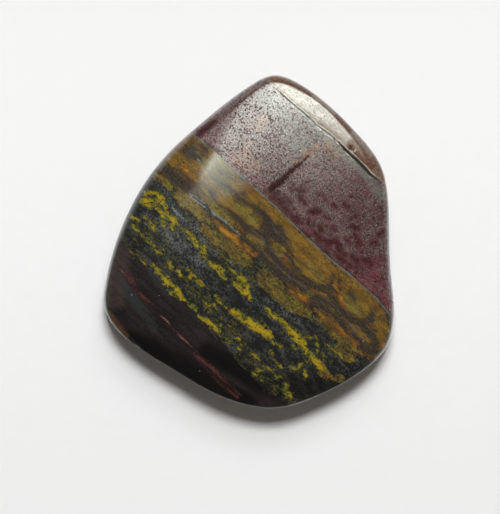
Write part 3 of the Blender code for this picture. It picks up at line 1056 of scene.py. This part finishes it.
def ochre_colour(s):
    """Golden-brown band with olive cells, brown streaks and fine veins."""
    streaks = s.noise(2.6, 4.0, STREAKED, seed=6.0, rough=0.7)
    mottle = s.noise(2.6, 4.0, LENGTHWISE, seed=7.0, rough=0.7)
    fine = s.noise(10.0, 2.0, seed=18.0, rough=0.7)
    tone = s.vary(mottle, (streaks, 0.8), (fine, 0.7))
    colour = s.ramp(tone, -0.11, 0.1, srgb(54, 43, 32), srgb(94, 77, 40))
    golden = s.step(s.vary(s.times(s.field("gold"), 0.6), (tone, 0.9)), 0.12, 0.26)
    colour = s.over(colour, s.ramp(tone, -0.13, 0.14, srgb(94, 71, 31), srgb(124, 97, 38)), golden)
    olive = s.step(s.vary(s.times(s.field("olive"), 0.6), (mottle, 0.9)), 0.16, 0.3)
    colour = s.over(colour, s.ramp(tone, -0.1, 0.14, srgb(86, 78, 37), srgb(120, 110, 50)), olive, 0.75)
    rusty = s.step(s.noise(1.8, 4.0, LENGTHWISE, seed=23.0, rough=0.65), 0.05, 0.12)
    colour = s.over(colour, srgb(120, 74, 32), rusty, 0.5)
    vein = s.step(s.magnitude(s.noise(1.3, 4.0, LENGTHWISE, seed=24.0, rough=0.6)), 0.018, 0.007)
    thread = s.step(s.magnitude(s.noise(2.6, 3.0, LENGTHWISE, seed=27.0, rough=0.6)), 0.015, 0.005)
    colour = s.over(colour, srgb(52, 40, 34), vein, s.blend(golden, 0.75, 0.55))
    return s.over(colour, srgb(58, 42, 32), thread, s.blend(golden, 0.6, 0.32))


def seam_colour(s, colour):
    """The dark stretches, wisps, orange seams and embers drawn over the ochre band and its edge."""
    ragged = s.noise(4.5, 4.0, LENGTHWISE, seed=8.0, rough=0.7)
    fine = s.noise(10.0, 2.0, seed=9.0, rough=0.7)
    colour = s.over(colour, srgb(66, 54, 38), s.mark("dark", -0.26, 0.04, (ragged, 0.9)), 0.5)
    dark = s.mark("dark", -0.03, 0.03, (ragged, 0.85), (fine, 0.25))
    dark_tint = s.ramp(s.vary(fine, (ragged, 0.5)), -0.12, 0.14, srgb(36, 32, 29), srgb(65, 58, 47))
    colour = s.over(colour, dark_tint, dark, 0.9)
    colour = s.over(colour, srgb(94, 84, 84), s.mark("wisps", -0.05, 0.04, (ragged, 0.3)), 0.45)
    umber_tint = s.ramp(fine, -0.1, 0.1, srgb(66, 38, 28), srgb(98, 58, 34))
    colour = s.over(colour, umber_tint, s.mark("umber", -0.08, 0.1, (ragged, 0.7)), 0.75)
    orange = s.mark("orange", -0.12, 0.03, (ragged, 1.0), (fine, 0.25))
    core = s.mark("orange", 0.0, 0.1, (ragged, 0.9), (fine, 0.4))
    patchy = s.step(s.noise(3.0, 3.0, LENGTHWISE, seed=25.0), -0.1, 0.1)
    orange_tint = s.over(srgb(114, 80, 31), srgb(178, 122, 30), core, patchy)
    colour = s.over(colour, orange_tint, orange, s.blend(patchy, 0.3, 0.75))
    return s.over(colour, srgb(134, 66, 30), s.mark("ember", -0.05, 0.05, (ragged, 0.4)), 0.5)


def flecked_colour(s, ochre):
    """Green-black ironstone with grey grains, olive stains and yellow flecks, golden brown in places, with
    painted sheen in paler patches and painted shade along the south side.
    """
    fine = s.noise(10.0, 3.0, seed=10.0, rough=0.8)
    medium = s.noise(1.6, 3.0, LENGTHWISE, seed=11.0)
    clump = s.noise(3.0, 4.0, LENGTHWISE, seed=29.0, rough=0.65)
    tone = s.vary(s.times(fine, 0.6), (clump, 0.9))
    # Painted shade: both tones are darker where the shade field is high, along the south side
    dark_side = s.mix(s.field("shade"), srgb(28, 29, 29), srgb(19, 19, 19))
    light_side = s.mix(s.field("shade"), srgb(62, 63, 60), srgb(36, 36, 34))
    colour = s.ramp(tone, -0.07, 0.14, dark_side, light_side)
    # Painted sheen: paler grey patches on the ironstone
    painted_sheen_tint = s.ramp(tone, -0.13, 0.13, srgb(46, 47, 47), srgb(98, 99, 97))
    pale = s.step(s.vary(fine, (medium, 1.3)), -0.12, 0.06)
    colour = s.over(colour, painted_sheen_tint, s.field("pale"), pale, 0.85)
    slate_tint = s.ramp(fine, -0.07, 0.1, srgb(31, 35, 39), srgb(80, 86, 90))
    colour = s.over(colour, slate_tint, s.field("slate"), s.step(s.add(fine, medium), -0.18, 0.02), 0.8)
    amber = s.mark("amber", -0.1, 0.06, (medium, 0.8), (clump, 0.5), (fine, 0.4))
    gilded = s.over(ochre, srgb(136, 116, 37), s.step(tone, -0.1, 0.15), 0.8)
    colour = s.over(colour, gilded, amber, 0.85)
    ragged = s.noise(3.6, 5.0, LENGTHWISE, seed=12.0, rough=0.78)
    small = s.noise(7.5, 2.0, LENGTHWISE, seed=28.0)
    level = s.vary(s.field("yellow"), (ragged, 0.85), (medium, 0.15), (small, 0.5))
    stain_tint = s.ramp(fine, -0.1, 0.08, srgb(46, 47, 29), srgb(84, 82, 38))
    colour = s.over(colour, stain_tint, s.step(level, -0.13, -0.02), 0.75)
    fleck_tint = s.ramp(level, 0.03, 0.22, srgb(110, 102, 34), srgb(162, 137, 27))
    colour = s.over(colour, fleck_tint, s.step(level, 0.0, 0.03))
    dots = s.step(s.vary(s.noise(6.5, 2.0, seed=14.0), (s.field("yellow"), -0.15)), 0.06, 0.09)
    return s.over(colour, srgb(29, 28, 23), dots, s.blend(amber, 0.85, 0.5))


def maroon_colour(s):
    """Near-black maroon with a blood-red streak and slate bands, with painted glints, painted sheen in paler
    patches and painted shade along the south side.
    """
    streaks = s.noise(2.4, 4.0, STREAKED, seed=15.0, rough=0.65)
    fine = s.noise(9.0, 3.0, seed=16.0, rough=0.7)
    tone = s.vary(s.times(streaks, 0.8), (fine, 0.7))
    # Painted shade: both tones are darker where the shade field is high, along the south side
    dark_side = s.mix(s.field("shade"), srgb(30, 26, 27), srgb(17, 16, 16))
    light_side = s.mix(s.field("shade"), srgb(46, 39, 39), srgb(22, 20, 20))
    colour = s.ramp(tone, -0.13, 0.15, dark_side, light_side)
    # Painted sheen: paler patches on the maroon
    colour = s.over(colour, srgb(68, 58, 55), s.field("pale"), s.step(tone, -0.3, 0.1), 0.75)
    colour = s.over(colour, srgb(50, 52, 52), s.field("slate"), s.step(tone, -0.25, 0.1), 0.7)
    threads = s.vary(s.noise(5.0, 3.0, STREAKED, seed=17.0, rough=0.65), (fine, 0.35))
    streak = s.mark("blood", -0.09, 0.1, (streaks, 0.8), (fine, 0.3))
    streak_tint = s.ramp(threads, -0.06, 0.14, srgb(42, 26, 25), srgb(96, 56, 50))
    colour = s.over(colour, streak_tint, streak, 0.65)
    # Painted glints on the streak
    colour = s.over(colour, srgb(126, 92, 82), s.mark("blood_glints", -0.01, 0.05, (threads, 0.5)), 0.6)
    return s.over(colour, srgb(98, 66, 32), s.field("rust"), s.step(fine, -0.2, 0.1), 0.7)


def with_contact_lines(s, colour, line, broken, wander, fine):
    """The colour with the pale line at the contact, the shadow beside it and the silver lines below."""
    colour = s.over(colour, srgb(46, 33, 31), s.step(s.magnitude(s.add(line, -0.07)), 0.06, 0.02), 0.6)
    pale_line = s.step(s.magnitude(line), 0.06, 0.02)
    colour = s.over(colour, srgb(99, 106, 103), pale_line, s.blend(broken, 0.25, 0.75))
    silver = s.mark("silver", -0.03, 0.02, (wander, 0.15), (fine, 0.5))
    colour = s.over(colour, srgb(122, 130, 132), silver, s.blend(broken, 0.4, 0.9))
    core = s.mark("silver_core", -0.02, 0.02, (wander, 0.12), (fine, 0.3))
    return s.over(colour, srgb(32, 32, 30), core, 0.9)


def with_hollows(s, colour, broken, wander, grains, fine):
    """The colour with the furrow and the pits, painted shade in the crack and a painted highlight along its
    edge, and how hollow and so how dull each place is.
    """
    colour = s.over(colour, srgb(104, 72, 56), s.mark("furrow", -0.08, 0.06, (grains, 0.8)), 0.35)
    furrow_core = s.mark("furrow_core", -0.05, -0.01, (grains, 0.8), (fine, 0.6))
    furrow_tint = s.ramp(s.add(fine, grains), -0.12, 0.18, srgb(24, 15, 15), srgb(60, 32, 28))
    colour = s.over(colour, furrow_tint, furrow_core, 0.9)
    # Painted highlight: a bright line along the crack's raised edge
    ridge_line = s.add(s.vary(s.field("past_crack"), (wander, 0.12)), -0.08)
    crack_edge_highlight = s.step(s.magnitude(ridge_line), 0.036, 0.015)
    colour = s.over(colour, srgb(196, 193, 172), crack_edge_highlight, s.blend(broken, 0.12, 0.8), s.field("crack_share"))
    # Painted shade: a dark line in the crack, darker again where it gapes
    hairline = s.step(s.magnitude(s.field("past_crack")), 0.055, 0.02)
    hairline = s.times(hairline, s.blend(broken, 0.6, 0.95), s.field("crack_share"))
    colour = s.over(colour, srgb(40, 34, 32), hairline)
    gap = s.mark("crack_gap", -0.03, 0.02, (fine, 0.15))
    colour = s.over(colour, srgb(36, 32, 29), gap, 0.85)
    pits = s.mark("pits", -0.03, 0.03, (fine, 0.3))
    colour = s.over(colour, srgb(48, 32, 26), pits, 0.7)
    return colour, s.largest(furrow_core, pits, gap, s.times(hairline, 0.8))


def stone_material():
    """The layers, the lines and hollows drawn over them with painted glints, painted shade in the crack and a
    painted highlight on its edge, and the polish, which differs between layers.
    """
    material = bpy.data.materials.new("banded_jasper_and_ironstone")
    s = Shading(material)
    wander = s.noise(3.5, 4.0, LENGTHWISE, seed=20.0, rough=0.65)
    grains = s.noise(6.0, 4.0, seed=2.0, rough=0.75)
    fine = s.noise(12.0, 2.0, seed=3.0, rough=0.7)
    patches = s.noise(1.1, 2.0, seed=26.0)
    broken = s.step(s.noise(4.0, 3.0, LENGTHWISE, seed=21.0), -0.12, 0.06)

    outer = s.mark("past_crack", -0.01, 0.02)
    contact = s.vary(s.field("past_contact"), (wander, 0.12))
    in_jasper = s.step(contact, -0.015, 0.015)
    above_middle = s.mark("past_middle", -0.05, 0.05, (wander, 0.6))
    above_lower = s.mark("past_lower", -0.05, 0.05, (wander, 0.9))

    pepper = s.step(s.vary(s.cells(9.0, seed=22.0), (fine, -0.6)), 0.5, 0.4)
    pepper = s.times(pepper, s.blend(outer, s.blend(s.field("greenish"), 1.0, 0.8), 0.4))
    strewn = s.vary(s.cells(2.8, seed=26.0), (grains, -0.8), (fine, -0.9), (patches, -0.6))
    strewn = s.times(s.step(strewn, 0.36, 0.31), s.field("granular"), 0.8)
    blotch = s.largest(s.mark("red", 0.02, 0.05, (grains, 1.0), (fine, 1.2)), strewn)

    jasper = jasper_colour(s, grains, fine, pepper, blotch)
    ochre = ochre_colour(s)
    colour = s.mix(outer, jasper, outer_colour(s, grains, fine))
    colour = s.mix(in_jasper, seam_colour(s, ochre), colour)
    colour = s.mix(above_middle, seam_colour(s, flecked_colour(s, ochre)), colour)
    colour = s.mix(above_lower, maroon_colour(s), colour)
    colour = with_contact_lines(s, colour, contact, broken, wander, fine)
    colour, hollow = with_hollows(s, colour, broken, wander, grains, fine)
    # Painted glints: small near-white specks
    colour = s.over(colour, srgb(184, 182, 164), s.mark("glints", -0.02, 0.02), 0.8)

    shine = s.vary(s.blend(outer, 0.5, 0.45), (fine, s.blend(outer, 1.2, 1.1)))
    shine = s.times(shine, s.blend(s.field("rust"), 1.0, 0.5), s.blend(blotch, 1.0, 0.4))
    jasper_shine = s.blend(hollow, s.blend(pepper, shine, 0.07), 0.02)
    flecked_shine = s.blend(s.mark("amber", -0.15, 0.2), 0.16, 0.27)
    below_shine = s.blend(above_lower, 0.075, s.blend(above_middle, flecked_shine, 0.37))
    jasper_roughness = s.blend(s.largest(pepper, hollow), s.blend(outer, 0.2, 0.16), 0.32)
    below_roughness = s.blend(above_middle, 0.19, s.vary(0.1, (fine, 0.08)))
    bump = s.node("ShaderNodeBump", {
        "Height": s.times(in_jasper, s.blend(outer, 0.8, 0.6), s.add(fine, grains)),
        "Distance": BUMP_HEIGHT * MM,
        "Strength": BUMP_STRENGTH,
    })
    s.surface({
        "Base Color": colour,
        "IOR": STONE_IOR,
        "Roughness": s.blend(in_jasper, below_roughness, jasper_roughness),
        "Specular IOR Level": s.blend(in_jasper, below_shine, jasper_shine),
        "Normal": bump.outputs["Normal"],
    })
    return material


# Studio


def paper_material():
    """Pale paper with a faint tooth, painted a little darker towards the front as shade where the window's
    light falls off.
    """
    material = bpy.data.materials.new("pale_paper")
    s = Shading(material)
    place = s.node("ShaderNodeTexCoord").outputs["Object"]
    parts = s.node("ShaderNodeSeparateXYZ", {"Vector": place})
    tooth = s.node("ShaderNodeTexNoise", {"Vector": place, "Scale": PAPER_TOOTH_PER_MM / MM, "Detail": 4.0})
    shift = s.times(s.add(tooth.outputs["Fac"], -0.5), PAPER_UNEVENNESS * MM)
    # Painted shade: the paper darkens towards the front
    front, back = (edge * MM for edge in PAPER_SHADE_SPAN)
    s.surface({
        "Base Color": s.ramp(s.add(parts.outputs["Y"], shift), front, back, PAPER_FRONT, PAPER_BACK),
        "Roughness": 0.9,
        "Specular IOR Level": 0.0,
    })
    return material


def make_paper():
    """A round sheet of pale paper whose rim curls up a little."""
    flat_radius = 0.42
    flat_rings = 12
    curl_radius = 0.06
    turns = 96
    profile = [(ring * flat_radius / flat_rings, 0.0) for ring in range(1, flat_rings + 1)]
    for degrees in range(6, 91, 6):
        angle = math.radians(degrees)
        profile.append((flat_radius + curl_radius * math.sin(angle), curl_radius * (1 - math.cos(angle))))
    points = [(0.0, 0.0, 0.0)]
    for radius, z in profile:
        for k in range(turns):
            angle = 2 * math.pi * k / turns
            points.append((radius * math.cos(angle), radius * math.sin(angle), z))
    faces = [(0, 1 + k, 1 + (k + 1) % turns) for k in range(turns)]
    for ring in range(len(profile) - 1):
        start = 1 + ring * turns
        for k in range(turns):
            after = (k + 1) % turns
            faces.append((start + k, start + turns + k, start + turns + after, start + after))
    mesh = bpy.data.meshes.new("paper")
    mesh.from_pydata(points, [], faces)
    mesh.shade_smooth()
    mesh.materials.append(paper_material())
    paper = bpy.data.objects.new("paper", mesh)
    bpy.context.scene.collection.objects.link(paper)


def make_pane(name, left, right, bottom, top, radiance, lights, distance):
    """An upright pane of light north of the stone, facing it.

    Its sides are azimuths in degrees from +Y towards +X. Its bottom and top are heights over its distance.
    """
    x0, x1 = (distance * math.tan(math.radians(side)) for side in (left, right))
    z0, z1 = bottom * distance, top * distance
    data = bpy.data.lights.new(name, "AREA")
    data.shape = "RECTANGLE"
    data.size = x1 - x0
    data.size_y = z1 - z0
    data.energy = radiance * math.pi * data.size * data.size_y
    data.color = WINDOW_TINT if lights else PANE_TINT
    light = bpy.data.objects.new(name, data)
    light.location = ((x0 + x1) / 2, distance, (z0 + z1) / 2)
    light.rotation_euler = (math.radians(-90.0), 0.0, 0.0)
    light.visible_camera = False
    light.visible_diffuse = lights
    light.visible_glossy = not lights
    bpy.context.scene.collection.objects.link(light)


def make_studio():
    """The paper, the window and the dim room round them."""
    make_paper()
    for step, pane in enumerate(WINDOW_PANES):
        make_pane(*pane, distance=FIRST_PANE_DISTANCE - step * PANE_SPACING)
    world = bpy.data.worlds.new("room")
    world.use_nodes = True
    background = world.node_tree.nodes["Background"]
    background.inputs["Color"].default_value = ROOM_TINT
    background.inputs["Strength"].default_value = ROOM_RADIANCE
    bpy.context.scene.world = world
    bpy.context.scene.view_settings.view_transform = "Standard"


def make_camera():
    """Straight down on the stone, framed as the photograph is."""
    data = bpy.data.cameras.new("camera")
    sensor = 36.0
    data.sensor_width = sensor
    data.lens = sensor * CAMERA_DISTANCE * GIRDLE_PIXELS_PER_MM / max(PHOTO_SIZE)
    data.clip_start = 0.01
    data.clip_end = 2.0
    camera = bpy.data.objects.new("camera", data)
    camera.location = (CAMERA_X * MM, CAMERA_Y * MM, (SCALE_HEIGHT + CAMERA_DISTANCE) * MM)
    bpy.context.scene.collection.objects.link(camera)
    bpy.context.scene.camera = camera


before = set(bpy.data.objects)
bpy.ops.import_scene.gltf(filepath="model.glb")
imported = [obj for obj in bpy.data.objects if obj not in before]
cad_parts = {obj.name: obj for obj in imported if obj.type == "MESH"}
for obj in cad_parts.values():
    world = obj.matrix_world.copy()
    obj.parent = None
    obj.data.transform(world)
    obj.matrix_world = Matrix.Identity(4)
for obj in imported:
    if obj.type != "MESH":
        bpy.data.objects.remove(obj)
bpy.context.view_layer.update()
make_camera()
stone = make_stone()
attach(stone, "root")
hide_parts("stone")
make_studio()
